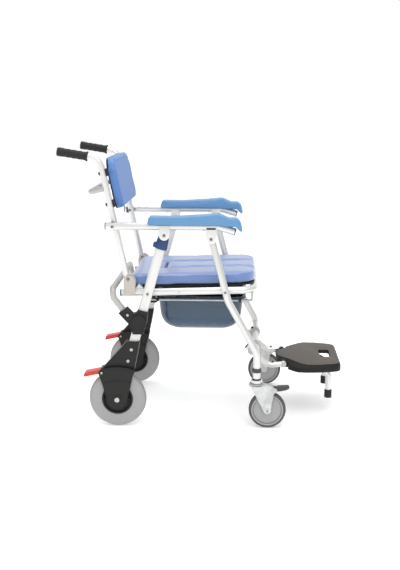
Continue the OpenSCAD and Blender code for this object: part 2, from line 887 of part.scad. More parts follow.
module rear_hub() {
    bore = axle_d / 2 + fit;
    color("black") translate([0, leg_y, wheel_r]) rotate([90, 0, 0]) rotate_extrude() polygon([
        [bore, -23], [22, -23], [26, -12], [46, -12], [48, -19], [54, -19],
        [54, 19], [48, 19], [46, 12], [26, 12], [22, 23], [bore, 23]
    ]);
}

module rear_tyre_left() {
    rear_tyre();
}

module rear_tyre_right() {
    right_side() rear_tyre();
}

module rear_hub_left() {
    rear_hub();
}

module rear_hub_right() {
    right_side() rear_hub();
}

module wheel_brake() {
    color("red") difference() {
        union() {
            cross_bar(brake_pivot, leg_y - 21, leg_y + 21, 14);
            plate(leg_y - 21, leg_y + 21) polygon([
                [-52, 204], [-66, 203], [-114, 193], [-118, 180], [-108, 181], [-72, 189], [-54, 190]
            ]);
        }
        cross_bar(brake_pivot, 200, 300, 6 + 2 * fit);
    }
}

module wheel_brake_left() {
    wheel_brake();
}

module wheel_brake_right() {
    right_side() wheel_brake();
}

// A flat bar that slides out of the top of each rear leg as the chair folds.
module brace_rods() {
    color("silver") both_sides() plate(leg_y - 6, leg_y + 6) translate(brace_pivot) rotate([0, 0, -leg_tilt]) {
        translate([-9, -150]) square([18, 150]);
        circle(r = 10);
    }
}

// A sprung sleeve on the top of the leg, with a trigger on its rear side.
module latch_collar() {
    color("steelblue") on_leg_frame() difference() {
        union() {
            translate([0, 0, -50]) linear_extrude(41) oval(42, 27);
            translate([-27, -9, -49]) cube([16, 18, 17]);
        }
        translate([0, 0, -51]) linear_extrude(39.5) oval(34 + 2 * gap, 2 * leg_half_t + 2 * gap);
        translate([0, 0, -60]) linear_extrude(60) square([19, 13], center = true);
    }
}

module latch_collar_left() {
    latch_collar();
}

module latch_collar_right() {
    right_side() latch_collar();
}

placed() seat_frame_tube();
placed() seat_cross_bar();
placed() rail_end_caps();
placed() back_hinge_brackets();
placed() back_hinge_bolts();
placed() leg_pivot_bolts();
placed() seat_base_board();
placed() seat_cushion();
placed() pan_rails();
placed() centre_pad();
placed() centre_pad_board();
placed() commode_pan();
placed() back_tubes();
placed() push_grips();
placed() back_cross_tube();
placed() backrest_shell();
placed() backrest_pad();
placed() backrest_screws();
placed() armrest_pivot_bolts();
placed() armrest_bushings();
placed() armrest_tubes();
placed() armrest_end_caps();
placed() armrest_pads();
placed() armrest_rear_brackets();
placed() armrest_front_brackets();
placed() armrest_bracket_bolts();
placed() front_legs();
placed() front_cross_tube();
placed() leg_collars();
placed() caster_stems();
placed() footrest_clamps();
placed() footrest_tubes();
placed() footrest_tube_caps();
placed() footplate();
placed() footplate_legs();
placed() footplate_feet();
placed() footplate_hinge_bolts();
placed() caster_fork_right();
placed() caster_fork_left();
placed() caster_wheel_right();
placed() caster_wheel_left();
placed() caster_brake_right();
placed() caster_brake_left();
placed() rear_legs();
placed() rear_cross_tube();
placed() leg_housings();
placed() wheel_brackets();
placed() rear_frame_bolts();
placed() rear_axles();
placed() rear_tyre_right();
placed() rear_tyre_left();
placed() rear_hub_right();
placed() rear_hub_left();
placed() wheel_brake_right();
placed() wheel_brake_left();
placed() brace_rods();
placed() latch_collar_right();
placed() latch_collar_left();
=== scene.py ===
"""Looks of a folding wheeled commode chair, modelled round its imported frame."""

import json
import math

import bpy
from mathutils import Matrix, Vector


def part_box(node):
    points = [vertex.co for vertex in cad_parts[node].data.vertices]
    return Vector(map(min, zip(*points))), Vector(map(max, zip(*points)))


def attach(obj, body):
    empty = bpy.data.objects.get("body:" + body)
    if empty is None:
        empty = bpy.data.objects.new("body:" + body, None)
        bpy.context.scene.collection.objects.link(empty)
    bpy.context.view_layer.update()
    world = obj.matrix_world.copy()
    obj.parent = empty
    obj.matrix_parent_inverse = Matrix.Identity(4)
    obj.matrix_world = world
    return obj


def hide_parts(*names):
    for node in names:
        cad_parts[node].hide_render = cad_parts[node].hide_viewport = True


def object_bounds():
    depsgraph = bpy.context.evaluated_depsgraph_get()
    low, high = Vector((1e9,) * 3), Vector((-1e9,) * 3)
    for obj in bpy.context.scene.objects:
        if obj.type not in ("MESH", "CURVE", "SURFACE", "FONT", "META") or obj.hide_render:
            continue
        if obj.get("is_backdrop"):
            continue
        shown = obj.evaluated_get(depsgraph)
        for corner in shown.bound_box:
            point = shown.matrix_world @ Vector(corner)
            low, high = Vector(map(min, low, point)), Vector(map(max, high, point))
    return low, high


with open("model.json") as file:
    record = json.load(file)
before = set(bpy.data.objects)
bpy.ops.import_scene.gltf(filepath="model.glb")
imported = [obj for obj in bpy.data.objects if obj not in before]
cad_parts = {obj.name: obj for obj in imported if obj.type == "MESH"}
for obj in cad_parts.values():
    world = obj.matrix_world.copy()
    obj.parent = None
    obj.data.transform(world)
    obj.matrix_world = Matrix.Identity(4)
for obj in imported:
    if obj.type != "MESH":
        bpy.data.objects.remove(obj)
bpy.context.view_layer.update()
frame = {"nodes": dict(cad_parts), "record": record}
JOINTS = {j["name"]: j for j in frame["record"]["behaviour"]["joints"]}
SLOTS = {s["node"]: s["material_slot"] for s in frame["record"]["subparts"]}
BODY_OF = {n: body for body, nodes in frame["record"]["behaviour"]["bodies"].items() for n in nodes}

MM = 0.001
ACROSS = Vector((0, 1, 0))
UP = Vector((0, 0, 1))
AXLE_X = JOINTS["rear_wheel_spin_right"]["pos_m"][0]
LEG_Y = 252
RAIL_Y = 225
REAR_RADIUS = 0.100
CASTER_RADIUS = 0.065


def at(x, y, z):
    """A place in millimetres forward of the rear axle, left of the middle and above the floor."""
    return Vector((AXLE_X + x * MM, y * MM, z * MM))


def shade(red, green, blue):
    """A display colour, 0 to 255, as the shader's linear colour."""
    def linear(v):
        v = v / 255
        return v / 12.92 if v <= 0.04045 else ((v + 0.055) / 1.055) ** 2.4

    return (linear(red), linear(green), linear(blue), 1.0)


# ---------- Finishes ----------


class Value:
    """A shader value on which Python's arithmetic makes Math nodes."""

    def __init__(self, finish, socket):
        self.finish = finish
        self.socket = socket

    def made(self, operation, *values):
        return self.finish.value("ShaderNodeMath", {"operation": operation}, *values)

    def __add__(self, other):
        return self.made("ADD", self, other)

    def __sub__(self, other):
        return self.made("SUBTRACT", self, other)

    def __rsub__(self, other):
        return self.made("SUBTRACT", other, self)

    def __mul__(self, other):
        return self.made("MULTIPLY", self, other)

    def __truediv__(self, other):
        return self.made("DIVIDE", self, other)

    def smooth(self, low, high):
        """Rises smoothly from 0 at low to 1 at high."""
        settings = {"interpolation_type": "SMOOTHSTEP"}
        return self.finish.value("ShaderNodeMapRange", settings, self, low, high, 0.0, 1.0)

    def sine(self):
        return self.made("SINE", self)

    def power(self, other):
        return self.made("POWER", self, other)

    __radd__ = __add__
    __rmul__ = __mul__


class Finish:
    """One material: a principled shader, and the nodes that vary it over the surface."""

    def __init__(self, name, **shader_settings):
        self.material = bpy.data.materials.new(name)
        self.material.use_nodes = True
        self.tree = self.material.node_tree
        self.shader = self.tree.nodes["Principled BSDF"]
        for socket, setting in shader_settings.items():
            self.shader.inputs[socket.replace("_", " ")].default_value = setting
        self.place = self.node("ShaderNodeTexCoord").outputs["Object"]

    def plug(self, value, socket):
        if isinstance(value, Value):
            value = value.socket
        if isinstance(value, bpy.types.NodeSocket):
            self.tree.links.new(value, socket)
        else:
            socket.default_value = value

    def node(self, kind, settings=None, *values, **named):
        """A node of that kind, with its settings made first and then its inputs."""
        made = self.tree.nodes.new(kind)
        for key, setting in (settings or {}).items():
            setattr(made, key, setting)
        for socket, value in zip(made.inputs, values):
            self.plug(value, socket)
        for key, value in named.items():
            self.plug(value, made.inputs[key.replace("_", " ")])
        return made

    def value(self, kind, settings=None, *values, **named):
        return Value(self, self.node(kind, settings, *values, **named).outputs[0])

    def noise(self, scale, detail=3.0, roughness=0.55, place=None):
        made = self.node("ShaderNodeTexNoise", None, Vector=place or self.place, Scale=scale,
                         Detail=detail, Roughness=roughness)
        return Value(self, made.outputs["Fac"])

    def cells(self, scale):
        made = self.node("ShaderNodeTexVoronoi", None, Vector=self.place, Scale=scale)
        return Value(self, made.outputs["Distance"])

    def axes(self, source=None):
        split = self.node("ShaderNodeSeparateXYZ", None, source or self.place)
        return [Value(self, socket) for socket in split.outputs]

    def stretched(self, x, y, z):
        mapping = self.node("ShaderNodeMapping", None, Vector=self.place)
        mapping.inputs["Scale"].default_value = (x, y, z)
        return mapping.outputs["Vector"]

    def blend(self, factor, first, second):
        """The first colour where the factor is 0 and the second where it is 1."""
        mix = self.tree.nodes.new("ShaderNodeMix")
        mix.data_type = "RGBA"
        for value, index in ((factor, 0), (first, 6), (second, 7)):
            self.plug(value, mix.inputs[index])
        return mix.outputs[2]

    def colour(self, socket):
        self.plug(socket, self.shader.inputs["Base Color"])
        return self

    def roughness(self, value):
        self.plug(value, self.shader.inputs["Roughness"])
        return self

    def relief(self, height, depth, strength=1.0):
        """Bump of that height value, scaled to a depth in millimetres."""
        bump = self.node("ShaderNodeBump", None, Strength=strength, Distance=depth * MM, Height=height)
        self.plug(bump.outputs["Normal"], self.shader.inputs["Normal"])
        return self

    def from_axis(self, centre):
        """Distance from an axis across the chair through the centre, in metres."""
        x, _, z = self.axes()
        x, z = x - centre.x, z - centre.z
        return (x * x + z * z).power(0.5)


def tinted(colour, factor):
    return tuple(min(1.0, c * factor) for c in colour[:3]) + (1.0,)


def satin_paint(name, colour, rough=0.34, metal=0.55, coat=0.25):
    """Sprayed metal: faint orange peel, slight cloudiness and handling marks."""
    f = Finish(name, Metallic=metal, Coat_Weight=coat, Coat_Roughness=0.18)
    cloud = f.noise(9.0, 4.0)
    scuff = f.noise(60.0, 6.0, 0.7).smooth(0.62, 0.72)
    clean = f.blend(cloud, tinted(colour, 0.93), tinted(colour, 1.04))
    f.colour(f.blend(scuff * 0.25, clean, tinted(colour, 0.72)))
    f.roughness(rough + cloud * 0.08 + scuff * 0.18)
    return f.relief(f.noise(700.0, 2.0) + f.noise(90.0, 2.0) * 0.6, 0.08, 0.5)


def zinc_plate(name, colour, rough=0.3):
    """Bright zinc with cloudy passivation and fine draw lines."""
    f = Finish(name, Metallic=0.9, Anisotropic=0.3)
    cloud = f.noise(28.0, 5.0, 0.6)
    lines = f.noise(1.0, 3.0, 0.5, f.stretched(90, 90, 900))
    f.colour(f.blend(cloud.smooth(0.35, 0.7), tinted(colour, 0.8), tinted(colour, 1.1)))
    f.roughness(rough + cloud * 0.22)
    return f.relief(lines, 0.05, 0.5)


def moulded_plastic(name, colour, rough=0.5, grain=0.12, coat=0.0):
    """Moulded plastic with a spark-eroded grain, paler where hands and shoes rub it."""
    f = Finish(name, Coat_Weight=coat, Coat_Roughness=0.25, Specular_IOR_Level=0.36)
    cloud = f.noise(14.0, 3.0)
    rub = f.noise(45.0, 6.0, 0.7).smooth(0.6, 0.75)
    base = f.blend(cloud, tinted(colour, 0.86), tinted(colour, 1.12))
    f.colour(f.blend(rub * 0.3, base, tinted(colour, 1.6)))
    f.roughness(rough + cloud * 0.1 - rub * 0.08)
    return f.relief(f.noise(1300.0, 2.0) + f.cells(700.0) * 0.7, grain, 0.7)


def soft_vinyl(name, colour, rough=0.46, coat=0.5, sheen=0.25):
    """Coated fabric over foam: fine leather grain, soft creases and a slight sheen."""
    f = Finish(name, Coat_Weight=coat, Coat_Roughness=0.26, Sheen_Weight=sheen, Sheen_Roughness=0.45)
    cloud = f.noise(7.0, 4.0)
    grain = f.cells(520.0)
    crease = f.noise(1.0, 4.0, 0.6, f.stretched(30, 55, 40))
    f.colour(f.blend(cloud, tinted(colour, 0.93), tinted(colour, 1.05)))
    f.roughness(rough + grain * 0.12 + cloud * 0.05)
    return f.relief(grain + crease * 1.6 + f.noise(1500.0, 2.0) * 0.5, 0.16, 0.6)


def skin_foam(name, colour):
    """Self-skinned foam of the arm pads: dull, with a pebbled skin."""
    f = Finish(name, Coat_Weight=0.08, Coat_Roughness=0.5)
    cloud = f.noise(11.0, 4.0)
    pebble = f.cells(900.0)
    f.colour(f.blend(cloud, tinted(colour, 0.9), tinted(colour, 1.08)))
    f.roughness(0.42 + cloud * 0.12)
    return f.relief(pebble + f.noise(60.0, 3.0) * 0.8, 0.14, 0.6)


def pan_plastic(name, colour, low, high):
    """Glossy moulded pan, paler towards its base and darker towards its rim, with faint flow marks."""
    f = Finish(name, Coat_Weight=0.5, Coat_Roughness=0.08)
    _, _, z = f.axes()
    flow = f.noise(1.0, 4.0, 0.5, f.stretched(9, 9, 30))
    deep = f.blend(z.smooth(low, high), tinted(colour, 1.15), tinted(colour, 0.72))
    f.colour(f.blend(flow, tinted(colour, 0.82), deep))
    f.roughness(0.2 + flow * 0.14)
    return f.relief(flow + f.noise(900.0, 2.0) * 0.2, 0.1, 0.4)


def solid_tyre(name, colour, centre, radius):
    """Grey solid tyre: matt sidewall, worn dusty tread with fine grooves round it."""
    f = Finish(name)
    reach = f.from_axis(centre)
    tread = reach.smooth(radius - 0.006, radius - 0.001)
    dust = f.noise(70.0, 6.0, 0.7)
    _, y, _ = f.axes()
    grooves = (y * (2 * math.pi / 0.0045)).sine() * tread
    ring = (reach * (2 * math.pi / 0.012)).sine() * (1 - tread)
    f.colour(f.blend(tread * 0.55 + dust * 0.25, tinted(colour, 1.04), tinted(colour, 0.68)))
    f.roughness(0.55 + dust * 0.22)
    return f.relief(grooves * 0.5 + ring * 0.05 + f.noise(800.0, 3.0) * 0.35, 0.4, 0.7)


def caster_rubber(name, colour, centre, radius):
    """Caster wheel: dark tread band, grey disc and a fine moulded ring."""
    f = Finish(name)
    reach = f.from_axis(centre)
    band = reach.smooth(radius - 0.0095, radius - 0.0085)
    ring = reach.smooth(0.0475, 0.0485) * (1 - reach.smooth(0.0500, 0.0510))
    dust = f.noise(90.0, 5.0, 0.7)
    disc = f.blend(dust, tinted(colour, 0.92), tinted(colour, 1.1))
    f.colour(f.blend(band, f.blend(ring * 0.75, disc, tinted(colour, 0.3)), tinted(colour, 0.22)))
    f.roughness(0.42 + dust * 0.2 + band * 0.12)
    return f.relief(ring * -0.8 + f.noise(900.0, 2.0) * 0.25, 0.4, 0.6)


def grip_rubber(name, colour):
    """Soft black rubber with a fine diamond knurl."""
    f = Finish(name)
    x, y, z = f.axes()
    knurl = (x * 1400.0 + y * 1400.0).sine() * (x * 1400.0 - y * 1400.0).sine()
    dust = f.noise(80.0, 5.0, 0.7)
    f.colour(f.blend(dust, tinted(colour, 0.8), tinted(colour, 1.5)))
    f.roughness(0.6 + dust * 0.15)
    return f.relief(knurl * 0.5 + f.noise(900.0) * 0.6, 0.18, 0.6)


def tread_plate(name, top, side, rear):
    """Footplate plastic: a ribbed brown-grey top, with its sides and sloping rear corners given a dark colour as
    painted shade.
    """
    f = Finish(name, Specular_IOR_Level=0.35)
    _, _, up = f.axes(f.node("ShaderNodeTexCoord").outputs["Normal"])
    x, y, _ = f.axes()
    # Painted shade: the dark side colour goes wherever the surface turns away from upwards, and on the sloping
    # rear corners.
    corner = (y * y).power(0.5) - (x - rear) * 1.35
    unshaded_top = up.smooth(0.88, 0.975) * (1 - corner.smooth(0.030, 0.034))
    streak = f.noise(1.0, 5.0, 0.6, f.stretched(240, 26, 26))
    speck = f.noise(420.0, 4.0, 0.7)
    ribs = (x * (2 * math.pi / 0.0085) + streak * 2.0).sine()
    # The top's colour carries streaks and specks of wear, and also the ribs drawn lighter and darker as painted
    # shade of their relief.
    worn = f.blend(streak * 0.6 + speck * 0.25 + ribs * 0.16, tinted(top, 0.66), tinted(top, 1.24))
    f.colour(f.blend(unshaded_top, tinted(side, 1.0), worn))
    f.roughness(0.6 + speck * 0.15)
    return f.relief(unshaded_top * ribs * 0.6 + speck * 0.5, 0.4, 0.8)


WHEEL_CENTRE = at(0, 0, REAR_RADIUS / MM)
CASTER_CENTRE = at(524, 0, CASTER_RADIUS / MM)
PLATE_REAR = at(562, 0, 0).x
pan_low, pan_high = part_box("commode_pan")
FINISHES = {
    "white_tube": satin_paint("white_tube", shade(224, 224, 222), 0.27, 0.6),
    "grey_tube": satin_paint("grey_tube", shade(186, 185, 182), 0.42, 0.4),
    "leg_white": satin_paint("leg_white", shade(226, 226, 224), 0.42, 0.2),
    "zinc": zinc_plate("zinc", shade(205, 207, 206)),
    "screw_steel": zinc_plate("screw_steel", shade(150, 148, 144), 0.34),
    "bracket_beige": satin_paint("bracket_beige", shade(196, 188, 178), 0.45, 0.35),
    "black_plastic": moulded_plastic("black_plastic", shade(26, 25, 24), 0.44, 0.14),
    "dark_grey_plastic": moulded_plastic("dark_grey_plastic", shade(70, 70, 70), 0.5, 0.12),
    "blue_cushion": soft_vinyl("blue_cushion", shade(98, 127, 184), 0.4, 1.0),
    "blue_back": soft_vinyl("blue_back", shade(88, 130, 192), 0.5, 0.1, 0.04),
    "blue_pad": skin_foam("blue_pad", shade(94, 143, 187)),
    "blue_plastic": moulded_plastic("blue_plastic", shade(36, 64, 108), 0.4, 0.06, 0.2),
    "pan_plastic": pan_plastic("pan_plastic", shade(36, 68, 94), pan_low[2], pan_high[2]),
    "tyre_grey": solid_tyre("tyre_grey", shade(160, 160, 160), WHEEL_CENTRE, REAR_RADIUS),
    "caster_grey": caster_rubber("caster_grey", shade(160, 160, 160), CASTER_CENTRE, CASTER_RADIUS),
    "black_rubber": grip_rubber("black_rubber", shade(22, 22, 22)),
    "red_plastic": moulded_plastic("red_plastic", shade(212, 46, 38), 0.34, 0.06, 0.3),
    # The footplate's second colour is the painted shade of its sides and sloping rear corners.
    "footplate_top": tread_plate("footplate_top", shade(96, 90, 84), shade(24, 23, 22), PLATE_REAR),
}
for node, made in frame["nodes"].items():
    for holder in made.material_slots:
        holder.material = FINISHES[SLOTS[node]].material


# ---------- Bench work ----------


def clear_selection():
    bpy.ops.object.select_all(action="DESELECT")


def take(piece):
    """Makes the piece the only one selected, and active."""
    clear_selection()
    piece.select_set(True)
    bpy.context.view_layer.objects.active = piece
    return piece


def open_mesh(piece, mode="FACE"):
    take(piece)
    bpy.ops.object.mode_set(mode="EDIT")
    bpy.ops.mesh.select_mode(type=mode)
    bpy.ops.mesh.select_all(action="DESELECT")
    bpy.ops.object.mode_set(mode="OBJECT")


def edit_mode():
    bpy.ops.object.mode_set(mode="EDIT")


def object_mode():
    bpy.ops.object.mode_set(mode="OBJECT")


def pick_faces(piece, wanted):
    """Selects the faces for which wanted(centre, normal) holds, and leaves the piece in edit mode."""
    open_mesh(piece, "FACE")
    for face in piece.data.polygons:
        face.select = bool(wanted(face.center, face.normal))
    edit_mode()


def pick_edges(piece, wanted):
    """Selects the edges for which wanted(end, end) holds, and leaves the piece in edit mode."""
    open_mesh(piece, "EDGE")
    points = piece.data.vertices
    for edge in piece.data.edges:
        a, b = edge.vertices
        edge.select = bool(wanted(points[a].co, points[b].co))
    edit_mode()


def pick_points(piece, wanted):
    open_mesh(piece, "VERT")
    for point in piece.data.vertices:
        point.select = bool(wanted(point.co))
    edit_mode()


def pick_all(piece):
    """Leaves the piece in edit mode with all of it selected."""
    open_mesh(piece)
    edit_mode()
    bpy.ops.mesh.select_all(action="SELECT")


def push(offset):
    """Extrudes what is selected along the offset, in metres."""
    bpy.ops.mesh.extrude_region_move(TRANSFORM_OT_translate={"value": offset})


def apply(piece, kind, **settings):
    """Adds a modifier and applies it."""
    take(piece)
    modifier = piece.modifiers.new(kind.title(), kind)
    for key, setting in settings.items():
        setattr(modifier, key, setting)
    bpy.ops.object.modifier_apply(modifier=modifier.name)
    return piece


def settle(piece):
    """Moves the object's place into its mesh."""
    take(piece)
    bpy.ops.object.transform_apply(location=True, rotation=True, scale=True)
    return piece


def smooth(piece, angle=35):
    take(piece)
    bpy.ops.object.shade_smooth_by_angle(angle=math.radians(angle))
    return piece


def rounded(piece, width, segments=2, above=30):
    """Rounds the edges that turn by more than the angle above."""
    return apply(piece, "BEVEL", width=width * MM, segments=segments, limit_method="ANGLE",
                 angle_limit=math.radians(above))


def face_outwards(piece):
    pick_all(piece)
    bpy.ops.mesh.remove_doubles(threshold=0.00002)
    bpy.ops.mesh.normals_make_consistent(inside=False)
    object_mode()
    return piece


def finished(piece, name, body, slot, *nodes, finish=None):
    """Names the piece, paints it and fixes it to its body, in place of the nodes it stands for."""
    piece.name = name
    piece.data.name = name
    piece.data.materials.clear()
    piece.data.materials.append(FINISHES[finish or slot].material)
    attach(piece, body)
    if nodes:
        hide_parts(*nodes)
    return piece


def copy_of(piece):
    """A copy with its own mesh."""
    twin = piece.copy()
    twin.data = piece.data.copy()
    bpy.context.scene.collection.objects.link(twin)
    return twin


def mirrored(piece):
    """A copy of the piece on the chair's other side."""
    twin = take(copy_of(piece))
    bpy.ops.transform.resize(value=(1, -1, 1), center_override=(0, 0, 0), orient_type="GLOBAL")
    settle(twin)
    pick_all(twin)
    bpy.ops.mesh.normals_make_consistent(inside=False)
    object_mode()
    return twin


def joined(pieces):
    clear_selection()
    for piece in pieces:
        piece.select_set(True)
    bpy.context.view_layer.objects.active = pieces[0]
    bpy.ops.object.join()
    return pieces[0]


def from_node(node):
    """A merged copy of a CAD node's mesh, as a start for a finished piece."""
    source = frame["nodes"][node]
    mesh = source.data.copy()
    piece = bpy.data.objects.new(node + "_look", mesh)
    bpy.context.scene.collection.objects.link(piece)
    pick_all(piece)
    bpy.ops.mesh.remove_doubles(threshold=0.00001)
    bpy.ops.mesh.customdata_custom_splitnormals_clear()
    bpy.ops.mesh.dissolve_limited(angle_limit=math.radians(1.0))
    object_mode()
    return piece


def eased(node, width=0.8, segments=2, angle=35, finish=None):
    """A CAD piece with its sharp edges rounded, as its moulding or pressing would be."""
    piece = from_node(node)
    rounded(piece, width, segments, angle)
    smooth(piece, angle)
    return finished(piece, node + "_eased", BODY_OF[node], SLOTS[node], node, finish=finish)


def bent_tube(points, bend_r, across, sides=32):
    """A round tube along the points: a circle pushed along each stretch and spun round each bend."""
    start = points[0]
    heading = (points[1] - points[0]).normalized()
    clear_selection()
    bpy.ops.mesh.primitive_circle_add(vertices=sides, radius=across * MM / 2, fill_type="NGON",
                                      location=start, rotation=heading.to_track_quat("Z", "Y").to_euler())
    piece = settle(bpy.context.active_object)
    edit_mode()
    bpy.ops.mesh.select_all(action="SELECT")
    trims = [0.0]
    for before, corner, after in zip(points, points[1:], points[2:]):
        angle = (corner - before).angle(after - corner)
        trims.append(bend_r * MM * math.tan(angle / 2))
    trims.append(0.0)
    for i in range(len(points) - 1):
        heading = (points[i + 1] - points[i]).normalized()
        stretch = (points[i + 1] - points[i]).length - trims[i] - trims[i + 1]
        push(heading * stretch)
        if i + 2 < len(points):
            after = (points[i + 2] - points[i + 1]).normalized()
            inward = (after - after.dot(heading) * heading).normalized()
            centre = points[i + 1] - heading * trims[i + 1] + inward * bend_r * MM
            angle = heading.angle(after)
            bpy.ops.mesh.spin(steps=max(3, math.ceil(math.degrees(angle) / 5)), angle=angle,
                              center=centre, axis=inward.cross(heading).normalized())
    object_mode()
    face_outwards(piece)
    rounded(piece, 0.6, 2, 60)
    return smooth(piece, 40)


# ---------- Camera, light and floor ----------

VIEW_AZIMUTH = math.radians(2.76)
VIEW_DOWN = math.radians(11.43)
VIEW_PLACE = at(436.3, -3315, 1126)
camera_data = bpy.data.cameras.new("camera")
camera_data.sensor_width = 36.0
camera_data.lens = 57.8
camera_data.clip_end = 60.0
camera = bpy.data.objects.new("camera", camera_data)
camera.location = VIEW_PLACE
camera.rotation_euler = (math.pi / 2 - VIEW_DOWN, 0, VIEW_AZIMUTH)
bpy.context.scene.collection.objects.link(camera)
bpy.context.scene.camera = camera

world = bpy.data.worlds.new("studio")
bpy.context.scene.world = world
world.use_nodes = True
# Bright in front of and behind the chair, greyer to its sides, so that its tubes show their roundness.
sky = world.node_tree
sight = sky.nodes.new("ShaderNodeTexCoord")
split = sky.nodes.new("ShaderNodeSeparateXYZ")
sideways = sky.nodes.new("ShaderNodeMath")
sideways.operation = "ABSOLUTE"
ramp = sky.nodes.new("ShaderNodeMapRange")
ramp.interpolation_type = "SMOOTHSTEP"
SIDE_LIGHT = 0.6
for socket, setting in (("From Min", 0.3), ("From Max", 0.95), ("To Min", 1.0), ("To Max", SIDE_LIGHT)):
    ramp.inputs[socket].default_value = setting
sky.links.new(sight.outputs["Generated"], split.inputs[0])
sky.links.new(split.outputs["X"], sideways.inputs[0])
sky.links.new(sideways.outputs[0], ramp.inputs["Value"])
sky.links.new(ramp.outputs[0], sky.nodes["Background"].inputs["Color"])
sky.nodes["Background"].inputs["Strength"].default_value = 1.0
bpy.context.scene.view_settings.view_transform = "Standard"


def soft_light(name, place, target, across, power):
    data = bpy.data.lights.new(name, "AREA")
    data.shape = "DISK"
    data.size = across
    data.energy = power
    lamp = bpy.data.objects.new(name, data)
    lamp.location = place
    lamp.rotation_euler = (target - place).to_track_quat("-Z", "Y").to_euler()
    bpy.context.scene.collection.objects.link(lamp)


MIDDLE = Vector((0, 0, 0.45))
soft_light("key", Vector((0.6, -1.8, 3.0)), MIDDLE, 1.6, 26)
soft_light("top", Vector((-0.4, 0.6, 3.2)), MIDDLE, 1.4, 22)

clear_selection()
bpy.ops.mesh.primitive_plane_add(size=30.0, location=(0, 0, -0.0005))
floor = bpy.context.active_object
floor.name = "floor"
paper = Finish("floor", Roughness=0.9, Emission_Color=(1, 1, 1, 1), Emission_Strength=0.3)
paper.colour(paper.blend(paper.noise(3.0), (0.93, 0.93, 0.93, 1), (0.96, 0.96, 0.96, 1)))
floor.data.materials.append(paper.material)
floor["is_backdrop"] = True


# ---------- Shapes made from outlines and rings ----------


def line_through(places):
    """A line of edges: a plane merged to a point, which is pushed from place to place and left in edit mode."""
    clear_selection()
    bpy.ops.mesh.primitive_plane_add(size=0.002, location=places[0])
    piece = settle(bpy.context.active_object)
    edit_mode()
    bpy.ops.mesh.select_mode(type="VERT")
    bpy.ops.mesh.select_all(action="SELECT")
    bpy.ops.mesh.merge(type="CENTER")
    for before, after in zip(places, places[1:]):
        bpy.ops.mesh.extrude_vertices_move(TRANSFORM_OT_translate={"value": after - before})
    bpy.ops.mesh.select_all(action="SELECT")
    return piece


def block(centre, size, lean=0.0):
    """A box of that size in metres, leant about the chair's cross axis."""
    clear_selection()
    bpy.ops.mesh.primitive_cube_add(size=1, location=centre, scale=size, rotation=(0, lean, 0))
    return settle(bpy.context.active_object)


def outline_plate(points, y0, y1, round_mm=1.2, segments=2):
    """A moulding drawn in side view, filled and given its width."""
    piece = line_through([at(x, y0, z) for x, z in points])
    bpy.ops.mesh.edge_face_add()
    push((0, (y1 - y0) * MM, 0))
    object_mode()
    face_outwards(piece)
    if round_mm:
        rounded(piece, round_mm, segments, 28)
    return smooth(piece, 40)


def sunk_face(piece, side, border, depth):
    """Sinks the middle of the largest face that looks along side * Y, leaving a raised border."""
    faces = [f for f in piece.data.polygons if f.normal.y * side > 0.99]
    largest = max(faces, key=lambda f: f.area).index
    open_mesh(piece)
    piece.data.polygons[largest].select = True
    edit_mode()
    bpy.ops.mesh.inset(thickness=border * MM)
    push((0, -side * depth * MM, 0))
    bpy.ops.mesh.inset(thickness=0.6 * MM)
    object_mode()
    return piece


def arc(cx, cz, radius, start, end, steps):
    """Points of an arc in side view, angles in degrees from forwards."""
    angles = [math.radians(start + (end - start) * i / steps) for i in range(steps + 1)]
    return [(cx + radius * math.cos(a), cz + radius * math.sin(a)) for a in angles]


def turned(start, heading, profile, sides=48, oval=1.0):
    """A round piece built up ring by ring: each (distance, diameter) in millimetres is the next ring."""
    first, across = profile[0]
    clear_selection()
    bpy.ops.mesh.primitive_circle_add(vertices=sides, radius=across * MM / 2, fill_type="NGON",
                                      location=start + heading * first * MM,
                                      rotation=heading.to_track_quat("Z", "Y").to_euler())
    piece = settle(bpy.context.active_object)
    edit_mode()
    bpy.ops.mesh.select_all(action="SELECT")
    if oval != 1.0:
        bpy.ops.transform.resize(value=(1, oval, 1), center_override=start, orient_type="GLOBAL")
    for (here, before), (there, after) in zip(profile, profile[1:]):
        push(heading * (there - here) * MM)
        if after != before:
            grow = after / before
            bpy.ops.transform.resize(value=(grow, grow, grow), center_override=start + heading * there * MM,
                                     orient_type="GLOBAL")
    object_mode()
    face_outwards(piece)
    return smooth(piece, 40)


def lathed(profile, centre, steps=72):
    """A ring about an axis across the chair, spun from a closed profile of (radius, y) in millimetres."""
    places = [centre + Vector((0, y * MM, r * MM)) for r, y in profile]
    piece = line_through(places + places[:1])
    bpy.ops.mesh.spin(steps=steps, angle=2 * math.pi, center=centre, axis=(0, 1, 0))
    object_mode()
    face_outwards(piece)
    return smooth(piece, 35)


def pair(piece, name, body, slot, *nodes, finish=None, bodies=None):
    """Finishes the piece on the left and its mirror image on the right."""
    twin = mirrored(piece)
    made = []
    for half, side in ((piece, "left"), (twin, "right")):
        on = bodies[side] if bodies else body
        stands_for = [n.replace("SIDE", side) for n in nodes]
        made.append(finished(half, name + "_" + side, on, slot, *stands_for, finish=finish))
    return made


# ---------- Frame tubes ----------

RAIL_RISE = 0.031
RAIL_TILT = math.atan(RAIL_RISE)


def rail_z(x):
    return 471 + RAIL_RISE * (x - 15)


def route(*points):
    return [at(*p) for p in points]


